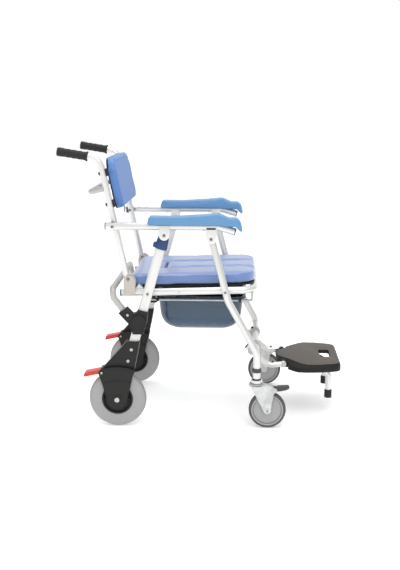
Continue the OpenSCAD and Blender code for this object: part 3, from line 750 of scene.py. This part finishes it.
RAIL_FRONT = 472.8
rails = bent_tube(route((15, -RAIL_Y, 471), (RAIL_FRONT, -RAIL_Y, rail_z(RAIL_FRONT)),
                        (RAIL_FRONT, RAIL_Y, rail_z(RAIL_FRONT)), (15, RAIL_Y, 471)), 45, 25)
finished(rails, "seat_rails", "seat_frame", "white_tube", "seat_frame_tube")
back_bar = bent_tube(route((-38, 225, 832), (-96, 165, 814), (-96, -165, 814), (-38, -225, 832)), 50, 20)
finished(back_bar, "back_bar", "back_frame", "grey_tube", "back_cross_tube")
rear_bar = bent_tube(route((44, 252, 388), (-9, 252, 458), (-13, 252, 489), (-13, -252, 489), (-9, -252, 458),
                           (44, -252, 388)), 16, 22)
finished(rear_bar, "rear_bar", "rear_frame", "grey_tube", "rear_cross_tube")

PAN_RAIL_Z = 431.8
SIDE_TUBES = [
    ("back_tube", "back_frame", "white_tube", "back_tubes", 45, 22,
     ((38.5, 225, 508), (-52.3, 225, 932.7), (-192, 225, 955.3))),
    ("armrest_tube", "armrests", "white_tube", "armrest_tubes", 60, 25,
     ((-31, 252, 707), (350, 252, 707), (406, 252, 690))),
    ("front_leg", "front_frame", "white_tube", "front_legs", 80, 25,
     ((323.97, 252, 677.8), (385, 252, 450), (486, 252, 267), (486, 252, 203))),
    ("footrest_tube", "front_frame", "white_tube", "footrest_tubes", 45, 20,
     ((452, 106, 253), (529, 106, 182), (585, 106, 187))),
    ("footplate_leg", "footplate_set", "white_tube", "footplate_legs", 25, 22,
     ((672, 86, 187), (750, 86, 150), (750, 86, 72))),
    ("pan_rail", "seat_frame", "zinc", "pan_rails", 7, 8,
     ((90.5, 168, rail_z(90.5)), (90.5, 168, PAN_RAIL_Z), (90.5, 152, PAN_RAIL_Z), (469, 152, PAN_RAIL_Z),
      (469, 152, rail_z(469)))),
]
for name, body, slot_name, node, bend_r, across, points in SIDE_TUBES:
    tube = bent_tube(route(*points), bend_r, across)
    if name == "footrest_tube":
        eye = turned(at(585, 97, 187), ACROSS, [(0, 18), (1, 20), (17, 20), (18, 18)], 32)
        tube = joined([tube, eye])
    pair(tube, name, body, slot_name, node)

# ---------- Pieces kept from the frame, with their edges rounded ----------

EASED = {
    "seat_cross_bar": 0.4, "rail_end_caps": 0.8, "back_hinge_brackets": 1.4,
    "seat_base_board": 1.0, "centre_pad_board": 1.0, "backrest_shell": 1.0,
    "backrest_screws": 0.5, "armrest_bushings": 1.6, "armrest_end_caps": 0.8,
    "armrest_rear_brackets": 0.7, "armrest_front_brackets": 0.7,
    "front_cross_tube": 0.4, "leg_collars": 0.8, "caster_stems": 0.8, "footrest_clamps": 1.5,
    "footrest_tube_caps": 0.8, "footplate_feet": 2.0, "footplate_hinge_bolts": 0.6,
    "caster_fork_right": 0.9, "caster_fork_left": 0.9, "caster_brake_right": 1.6, "caster_brake_left": 1.6,
    "rear_legs": 0.4, "wheel_brake_right": 2.0,
    "wheel_brake_left": 2.0, "brace_rods": 0.8,
}
# The footrest clamps take the grey tube paint, darker than the white tubes, to match the far leg's tube where it
# lies in shade: partly painted shade.
OTHER_FINISH = {"footrest_clamps": "grey_tube", "rear_legs": "leg_white"}
for node, width in EASED.items():
    eased(node, width, finish=OTHER_FINISH.get(node))

# ---------- Bolts ----------


HEAD_THICK = 3.6


def through_bolt(x, z, y0, y1, head, shaft, collar=None):
    """A bolt across the chair with a socketed head on each face, and the spacer round it if it has one."""
    near = [(2.4, head * 0.34), (0.6, head * 0.40), (0, head * 0.46), (0, head * 0.78), (1.0, head * 0.94),
            (2.2, head), (HEAD_THICK, head), (HEAD_THICK, shaft)]
    reach = y1 - y0 + 2 * HEAD_THICK
    far = [(reach - d, w) for d, w in reversed(near)]
    bolt = turned(at(x, y0 - HEAD_THICK, z), ACROSS, near + far, 32)
    if collar:
        low_y, high_y = collar
        spacer = turned(at(x, low_y, z), ACROSS,
                        [(0, 14.6), (0.6, 16), (high_y - low_y - 0.6, 16), (high_y - low_y, 14.6)], 32)
        bolt = joined([bolt, spacer])
    return bolt


BOLTS = {
    "back_hinge_bolts": ("seat_frame", [(40, 522, 210.5, 239.5, 11, 8)]),
    "leg_pivot_bolts": ("seat_frame", [(109, 473.9, 212.5, 262.5, 9, 8, (237.5, 241.5)),
                                       (375, 482.2, 212.5, 265, 9, 8, (237.5, 239))]),
    "armrest_pivot_bolts": ("back_frame", [(-8, 706, 214, 265, 10, 8)]),
    "armrest_bracket_bolts": ("armrests", [(168, 678, 235, 269, 10, 8), (327, 666.2, 236, 268, 10, 8)]),
    "rear_frame_bolts": ("rear_frame", [(40, 401, 241.4, 269, 10, 8), (51.5, 279, 234, 270, 12, 8),
                                        (39.5, 238, 234, 270, 12, 8), (-52, 197, 222, 282, 8, 6)]),
    "rear_axles": ("rear_frame", [(0, 100, 221.6, 282.4, 18, 12)]),
}
BRIGHT_BOLTS = ("rear_frame_bolts", "rear_axles")
for node, (body, rows) in BOLTS.items():
    bolts = [through_bolt(*row) for row in rows]
    pair(joined(bolts), node, body, "zinc", node,
         finish="zinc" if node in BRIGHT_BOLTS else "screw_steel")

# ---------- Footplate ----------

# For each corner of the left half: its place at the underside, and its place at the top.
HALF_PLAN = [(562, 85, 566, 34), (572, 95, 575, 46), (601, 95, 602, 76), (601, 124, 618, 98),
             (620, 148, 634, 122), (636, 161, 650, 143), (668, 164, 672, 155), (712, 160, 712, 154),
             (751, 151, 750, 144), (769, 145, 767, 138), (779, 139, 776, 132), (786, 128, 782.5, 122),
             (790, 115, 786, 110), (791, 90, 787, 87)]
plan = HALF_PLAN + [(x0, -y0, x1, -y1) for x0, y0, x1, y1 in reversed(HALF_PLAN)]
footboard = line_through([at(x, y, 172) for x, y, _, _ in plan])
bpy.ops.mesh.edge_face_add()
for height in (17, 10, 1):
    push((0, 0, height * MM))
object_mode()
for point in footboard.data.vertices:
    if point.co.z > 0.198:
        x, y = (point.co.x - AXLE_X) / MM, point.co.y / MM
        place = min(plan, key=lambda p: math.hypot(p[0] - x, p[1] - y))
        point.co.x, point.co.y = AXLE_X + place[2] * MM, place[3] * MM
        point.co.z = min(point.co.z, 0.200)
face_outwards(footboard)
pick_faces(footboard, lambda c, n: n.z < -0.9)
bpy.ops.mesh.inset(thickness=0.004)
push((0, 0, 0.014))
object_mode()
cutter = block(at(740, 0, 190), (0.039, 0.096, 0.080))
pick_edges(cutter, lambda a, b: abs(a.z - b.z) > 0.05)
bpy.ops.mesh.bevel(offset=0.011, segments=6)
object_mode()
apply(footboard, "BOOLEAN", object=cutter, operation="DIFFERENCE", solver="EXACT")
bpy.data.objects.remove(cutter)
rounded(footboard, 1.6, 2, 24)
knuckles = []
for side in (-1, 1):
    knuckles.append(turned(at(585, side * 70, 187), ACROSS * side,
                           [(0, 21), (1, 22.4), (23.6, 22.4), (24.6, 21)], 40))
    knuckles.append(turned(at(681, side * 86, 176), UP, [(0, 24), (1, 26), (14, 28)], 40))
footboard = joined([smooth(footboard, 35)] + knuckles)
finished(footboard, "footboard", "footplate_set", "footplate_top", "footplate")

# ---------- Rear wheels ----------


def both_faces(half):
    """A profile of (radius, y) for one side, carried round to the other side."""
    return [(r, -y) for r, y in half] + [(r, y) for r, y in reversed(half)]


TYRE = [(53, 15), (55, 18.4), (58, 19.6), (66, 20), (78, 20), (86, 19.2), (92, 16.6), (96.4, 12.6),
        (99, 7.6), (100, 2.6)]
HUB = [(6.05, 23), (19, 23), (21.5, 21.6), (25, 13), (27, 12), (44.5, 12), (46.5, 13), (48, 18),
       (49.4, 19), (54, 19)]
left_wheel = at(0, LEG_Y, 100)
tyre = lathed(both_faces(TYRE), left_wheel, 96)
hub = lathed(both_faces(HUB), left_wheel, 72)
ribs = []
for face in (-1, 1):
    rib = block(left_wheel + Vector((0.035, face * 0.014, 0)), (0.021, 0.006, 0.004))
    rounded(rib, 0.8)
    for i in range(6):
        spoke = copy_of(rib)
        spoke.data.transform(Matrix.Translation(left_wheel) @ Matrix.Rotation(math.radians(60 * i), 4, "Y")
                             @ Matrix.Translation(-left_wheel))
        ribs.append(spoke)
    bpy.data.objects.remove(rib)
hub = joined([hub] + ribs)
on_wheel = {"left": "rear_wheel_left", "right": "rear_wheel_right"}
pair(tyre, "rear_tyre", None, "tyre_grey", "rear_tyre_SIDE", bodies=on_wheel)
pair(smooth(hub, 35), "rear_hub", None, "black_plastic", "rear_hub_SIDE", bodies=on_wheel)

# ---------- Casters ----------

CASTER = [(4.05, 14), (14.5, 14), (16.4, 13), (18, 8.8), (19.2, 8), (46.8, 8), (48.2, 8.6), (49.6, 11.4),
          (50.8, 12.1), (55.2, 12.6), (55.7, 11.9), (56.3, 12.7), (60, 13), (62.8, 11.6), (64.4, 8.4), (65, 4)]
on_fork = {"left": "caster_left", "right": "caster_right"}
roller = lathed(both_faces(CASTER), at(524, LEG_Y, 65), 80)
pair(roller, "caster_wheel", None, "caster_grey", "caster_wheel_SIDE",
     bodies={"left": "caster_roller_left", "right": "caster_roller_right"})
race = turned(at(486, LEG_Y, 151), UP,
              [(0, 44), (1.5, 51), (4, 52), (6.5, 51), (7.6, 46), (8.2, 42), (9, 44), (9.4, 30)], 64)
pair(race, "caster_race", None, "zinc", finish="screw_steel", bodies=on_fork)
fork_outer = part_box("caster_fork_left")[1][1]
rivet = turned(Vector((CASTER_CENTRE.x, fork_outer, CASTER_RADIUS)), ACROSS, [(0, 7), (1.0, 6.6), (1.8, 4.4)], 24)
pair(rivet, "caster_rivet", None, "zinc", finish="screw_steel", bodies=on_fork)
sleeve = turned(at(486, LEG_Y, 176), UP, [(0, 24), (0.8, 26), (22.6, 26), (23, 25)])
pair(sleeve, "stem_sleeve", "front_frame", "white_tube")
washer = turned(at(486, LEG_Y, 171.8), UP, [(0, 29), (1, 31), (4, 31), (5, 28)])
pair(washer, "stem_washer", "front_frame", "black_plastic")

# ---------- Rear leg mouldings ----------

HOUSING = [(9, 407), (37, 427), (58, 405), (72, 410), (75, 420), (110, 411), (105, 372), (92, 333), (57, 333),
           (46, 366)]
COVER = [(0, 56), (7.4, 56), (8.6, 54.6), (9, 53), (9, 48.6), (8.2, 47.4), (7.4, 46), (7.2, 30), (7.2, 24),
         (7.9, 22.6), (7.9, 3)]
housing = outline_plate(HOUSING, 240, 269, 0)
for face in (-1, 1):
    sunk_face(housing, face, 3.2, 1.4)
rounded(housing, 1.1, 2, 40)
smooth(housing, 40)
covers = []
for face, base in ((-1, 245), (1, 264)):
    covers.append(turned(at(77, base, 374), ACROSS * face, COVER, 64))
pair(joined([housing] + covers), "leg_housing", "rear_frame", "black_plastic", "leg_housings")

ARCH = [(62, 209), (48, 213.5), (30, 216.6), (10, 218), (-10, 217.6), (-30, 215), (-46, 211.6), (-58, 208)]
UPPER = [(33, 307), (80, 307), (72, 262), (62, 216), (60, 206), (-50, 206), (-56, 209), (-46, 215), (22, 292)]
CHEEK = [(-60, 204), (-64, 196), (-52, 160)] + arc(0, 100, 36, 180, 360, 16) + [(50, 160), (60, 202)] + ARCH
BOSS = [(0, 34), (1.6, 34), (2.4, 32), (2.4, 26)]
upper = outline_plate(UPPER, 234, 270, 0)
for face in (-1, 1):
    sunk_face(upper, face, 3.4, 1.3)
rounded(upper, 1.2, 2, 40)
bridge = outline_plate([(-58, 207.4), (60, 207.4)] + ARCH[:-1], 223, 281, 1.0)
mouldings = [smooth(upper, 40), bridge]
for y0, y1, face in ((276, 281, 1), (223, 228, -1)):
    cheek = outline_plate(CHEEK, y0, y1, 0)
    sunk_face(cheek, face, 2.6, 0.9)
    rounded(cheek, 0.8, 2, 40)
    mouldings.append(smooth(cheek, 40))
    outer = y1 if face > 0 else y0
    for low, drop, half_w in ((0, 3.2, 56), (-47, 3.0, 46)):
        band = [(x * half_w / 62, z + low) for x, z in ARCH]
        inner = [(x, z - drop) for x, z in reversed(band)]
        mouldings.append(outline_plate(band + inner, outer - face * 1.4, outer + face * 0.9, 0.7, 1))
    mouldings.append(turned(at(0, outer - face * 1.5, 100), ACROSS * face, BOSS))
pair(joined(mouldings), "wheel_bracket", "rear_frame", "black_plastic", "wheel_brackets")

# ---------- Latch collars ----------

lean = math.radians(16.05)
DOWN_LEG = Vector((-math.sin(lean), 0, -math.cos(lean)))
LEG_TOP = at(168, LEG_Y, 678)
COLLAR = [(9, 35), (10, 37.5), (16, 39), (24, 41), (30, 40.4), (35, 42), (40, 43.6), (44, 43.2), (47, 41.6),
          (49.6, 42.6), (50.4, 40)]
collar = turned(LEG_TOP, DOWN_LEG, COLLAR, 56, 27 / 42)
trigger = block(LEG_TOP + DOWN_LEG * 0.040, (0.018, 0.017, 0.018), lean)
back_of_leg = Vector((-math.cos(lean), 0, math.sin(lean)))
trigger.data.transform(Matrix.Translation(back_of_leg * 0.0175))
pick_faces(trigger, lambda c, n: n.dot(back_of_leg) > 0.9)
bpy.ops.mesh.inset(thickness=0.003)
push(back_of_leg * 0.002)
object_mode()
rounded(trigger, 1.6)
pair(joined([collar, smooth(trigger, 40)]), "latch_collar", None, "blue_plastic", "latch_collar_SIDE",
     bodies={"left": "latch_left", "right": "latch_right"})

# ---------- Push grips ----------

handle_bend, handle_end = at(-52.3, 225, 932.7), at(-192, 225, 955.3)
handle = (handle_end - handle_bend).normalized()
grip_length = (handle_end - handle_bend).length / MM + 4
grip_rings = [(40, 24), (40.4, 32), (41.5, 34), (44, 34), (45, 32), (46, 29.4)]
notch = 48
while notch < grip_length - 18:
    grip_rings += [(notch, 29.8), (notch + 4, 28.6), (notch + 9, 27.6), (notch + 14, 28.6), (notch + 18, 29.8)]
    notch += 20
for short, across in ((10, 30), (4, 30), (1.6, 28.6), (0.4, 25), (0, 20)):
    grip_rings.append((grip_length - short, across))
grip = turned(handle_bend, handle, grip_rings, 48)
pair(grip, "push_grip", "back_frame", "black_rubber", "push_grips")

# ---------- Pan ----------

PAN_TOP, PAN_HALF_X, PAN_HALF_Y = 435, 160.5, 160
pan_start = at(284.5, 0, PAN_TOP)
clear_selection()
bpy.ops.mesh.primitive_plane_add(size=1, location=pan_start, scale=(0.321, 0.320, 1))
pan = settle(bpy.context.active_object)
for point in pan.data.vertices:
    point.co.x = pan_start.x + math.copysign(PAN_HALF_X * MM, point.co.x - pan_start.x)
    point.co.y = math.copysign(PAN_HALF_Y * MM, point.co.y)
edit_mode()
bpy.ops.mesh.select_mode(type="VERT")
bpy.ops.mesh.select_all(action="SELECT")
bpy.ops.mesh.bevel(offset=0.040, segments=12, affect="VERTICES")
bpy.ops.mesh.select_mode(type="FACE")
bpy.ops.mesh.select_all(action="SELECT")
bpy.ops.mesh.flip_normals()
# The rim's rolled edge, the wall and the round foot, each ring by its height and half its length and width.
PAN_RINGS = [(439, 160.5, 160), (440, 159.5, 159), (440, 156, 145), (438, 151.5, 138), (430, 150, 137),
             (415, 148.6, 135.4), (400, 147, 133.5), (386, 145.6, 132.2), (372, 143.8, 130.4), (360, 141, 127.6),
             (348, 136, 122.6), (337, 129, 115.6), (328, 120, 107), (320, 109.5, 97), (315, 99, 87),
             (312, 88.5, 77), (311, 80, 69), (313, 76, 65), (313, 30, 30)]
here_z, here_x, here_y = PAN_TOP, PAN_HALF_X, PAN_HALF_Y
for z, half_x, half_y in PAN_RINGS:
    push((0, 0, (z - here_z) * MM))
    bpy.ops.transform.resize(value=(half_x / here_x, half_y / here_y, 1),
                             center_override=(pan_start.x, 0, z * MM), orient_type="GLOBAL")
    here_z, here_x, here_y = z, half_x, half_y
object_mode()
pick_faces(pan, lambda c, n: abs(c.z - pan_start.z) < 0.0005 and abs(n.z) > 0.9)
bpy.ops.mesh.delete(type="FACE")
object_mode()
face_outwards(pan)
apply(pan, "SOLIDIFY", thickness=2.4 * MM, offset=0.0)
rounded(pan, 0.6, 2, 60)
finished(smooth(pan, 50), "commode_pan_shell", "pan", "pan_plastic", "commode_pan")

# ---------- Padded pieces ----------


BOARD_TOP = 18.6  # above the seat rail's axis, square to the rail


def tilted_height(place):
    """Height above the seat rail's axis, square to the rail, in millimetres."""
    x, z = (place.x - AXLE_X) / MM - 15, place.z / MM - 471
    return z * math.cos(RAIL_TILT) - x * math.sin(RAIL_TILT)


def ready_pad(node, inset=2.0, voxel=5.0, keep=None):
    """The pad's closed form, slightly slack, in even small faces."""
    pad = from_node(node)
    if keep:
        pick_points(pad, lambda c: not keep(c))
        bpy.ops.mesh.delete(type="VERT")
        object_mode()
    apply(pad, "REMESH", mode="VOXEL", voxel_size=voxel * MM)
    apply(pad, "SMOOTH", factor=0.5, iterations=5)
    apply(pad, "DISPLACE", strength=-inset * MM, mid_level=0.0)
    return pad


def inflate(pads, cap, pressure=4.0, frames=20):
    """Blows the pads up as cloth, and keeps each point within cap millimetres of where it was."""
    rests = {}
    for pad in pads:
        rests[pad] = [v.co.copy() for v in pad.data.vertices]
        cloth = pad.modifiers.new("Cloth", "CLOTH")
        cloth.settings.quality = 5
        cloth.settings.use_pressure = True
        cloth.settings.uniform_pressure_force = pressure
        cloth.settings.effector_weights.gravity = 0
        cloth.collision_settings.use_collision = False
        cloth.point_cache.frame_start = 1
        cloth.point_cache.frame_end = frames
    for frame_number in range(1, frames + 1):
        bpy.context.scene.frame_set(frame_number)
    graph = bpy.context.evaluated_depsgraph_get()
    for pad in pads:
        blown = [v.co.copy() for v in pad.evaluated_get(graph).data.vertices]
        pad.modifiers.clear()
        for point, rest, place in zip(pad.data.vertices, rests[pad], blown):
            move = place - rest
            if move.length > cap * MM:
                move = move * (cap * MM / move.length)
            point.co = rest + move
    bpy.context.scene.frame_set(1)


def rest_flat(pad):
    """Presses the underside of a seat pad flat on its board."""
    for point in pad.data.vertices:
        height = tilted_height(point.co)
        if height < BOARD_TOP:
            point.co.z += (BOARD_TOP - height) * MM


cushion = ready_pad("seat_cushion", 2.5, 5.0)
centre = ready_pad("centre_pad", 2.5, 4.5)
back_pad = ready_pad("backrest_pad", 2.0, 4.5)
arm_left = ready_pad("armrest_pads", 0.8, 3.0, keep=lambda c: c.y > 0)
for point in arm_left.data.vertices:
    x = (point.co.x - AXLE_X) / MM
    waist = 1.0 - 0.10 * math.exp(-((x - 372) / 42) ** 2) - 0.12 * max(0.0, (x - 395) / 40) ** 2
    tail = 1.0 - 0.22 * max(0.0, (135 - x) / 26) ** 2
    point.co.y = LEG_Y * MM + (point.co.y - LEG_Y * MM) * waist * tail
inflate([cushion, centre], 4.5)
inflate([back_pad], 2.2)
inflate([arm_left], 1.2)
for pad in (cushion, centre):
    rest_flat(pad)
for point in cushion.data.vertices:
    reach = max(0.0, min(1.0, (120 - (point.co.x - AXLE_X) / MM) / 60))
    point.co.x -= 11 * reach * reach * (3 - 2 * reach) * MM
for pad, passes in ((cushion, 4), (centre, 4), (back_pad, 8), (arm_left, 3)):
    apply(pad, "SMOOTH", factor=0.5, iterations=passes)
    apply(pad, "SUBSURF", levels=1, render_levels=1)
    take(pad)
    bpy.ops.object.shade_smooth()

back_lean = math.radians(12.08)
back_foot = at(36, 0, 520)


def back_local(place):
    """Forward of and up the leaning back frame, in millimetres."""
    x, z = (place.x - back_foot.x) / MM, (place.z - back_foot.z) / MM
    forward = x * math.cos(back_lean) + z * math.sin(back_lean)
    return forward, z * math.cos(back_lean) - x * math.sin(back_lean)


for point in back_pad.data.vertices:
    forward, up = back_local(point.co)
    aside = abs(point.co.y) / MM
    edge = min(200 - aside, up - 237, 420 - up)
    corner = math.hypot(max(0, aside - 150), up - 370) if up > 370 else 0
    edge = min(edge, 52 - corner) if corner else edge
    # The cover is drawn 9 mm over the edge of the shell, and the foam stands 6 mm proud in front.
    depth = max(0.0, min(1.0, (35 - forward) / 20))
    rim = max(0.0, min(1.0, (16 - edge) / 8))
    shift = 6 * (1 - depth) - 9 * depth * rim
    # A raised border with a beaded inner edge runs round the front.
    if forward > 24:
        step = max(0.0, min(1.0, (edge - 15) / 6))
        bead = math.exp(-((edge - 14) / 3.0) ** 2)
        shift += 0.9 * bead - 2.0 * step * step * (3 - 2 * step)
    point.co.x += shift * math.cos(back_lean) * MM
    point.co.z += shift * math.sin(back_lean) * MM

finished(cushion, "seat_cushion_pad", "seat_frame", "blue_cushion", "seat_cushion")
finished(centre, "centre_cushion_pad", "centre_pad_set", "blue_cushion", "centre_pad")
finished(back_pad, "backrest_cushion", "back_frame", "blue_cushion", "backrest_pad", finish="blue_back")
arms = pair(arm_left, "armrest_cushion", "armrests", "blue_pad", "armrest_pads")
for pad in [cushion, centre, back_pad] + arms:
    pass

# ---------- Small fittings ----------

clip = outline_plate([(62, 485), (92, 485), (86, 492), (78, 499), (72, 499)], 196, 222, 1.2)
pair(clip, "cushion_clip", "seat_frame", "white_tube")
rail_screw = turned(at(215, RAIL_Y + 12, rail_z(215)), ACROSS,
                    [(0, 7), (1.2, 7), (1.8, 6), (1.8, 3.4), (1.0, 3.2)], 24)
pair(rail_screw, "rail_screw", "seat_frame", "zinc")
for name, x in (("rear", 135), ("front", 300)):
    screw = turned(at(x, LEG_Y, 696), -UP, [(0, 9), (1.6, 9), (2.6, 7), (2.6, 4), (1.6, 3.6)], 24)
    pair(screw, "pad_screw_" + name, "armrests", "zinc")
for name, x in (("rear", 128), ("front", 420)):
    holder = turned(at(x, 152, PAN_RAIL_Z), Vector((1, 0, 0)), [(0, 10), (0.8, 12.4), (9.2, 12.4), (10, 10)], 24)
    pair(holder, "pan_rail_clip_" + name, "seat_frame", "black_plastic")
# A thin black strip on the front bracket's outer face just under the armrest tube: partly a black saddle there,
# partly painted shade for the dark slot under the pad.
saddle_and_shade_strip = outline_plate([(311.5, 698.5), (342.5, 698.5), (342.5, 704.5), (311.5, 704.5)], 267.6, 268.9, 0.4, 1)
pair(saddle_and_shade_strip, "bracket_strip", "armrests", "black_plastic")
knob = turned(at(474, 106, 266), Vector((-0.72, 0, 0.69)), [(0, 8), (1, 10.5), (4, 11), (6, 10), (7, 7)], 32)
pair(knob, "clamp_knob", "front_frame", "black_plastic")
foot_bolt = turned(at(545, 106, 193), UP, [(0, 8), (2, 9), (4, 8), (4.6, 5)], 24)
pair(foot_bolt, "footrest_bolt", "front_frame", "dark_grey_plastic")

low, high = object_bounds()
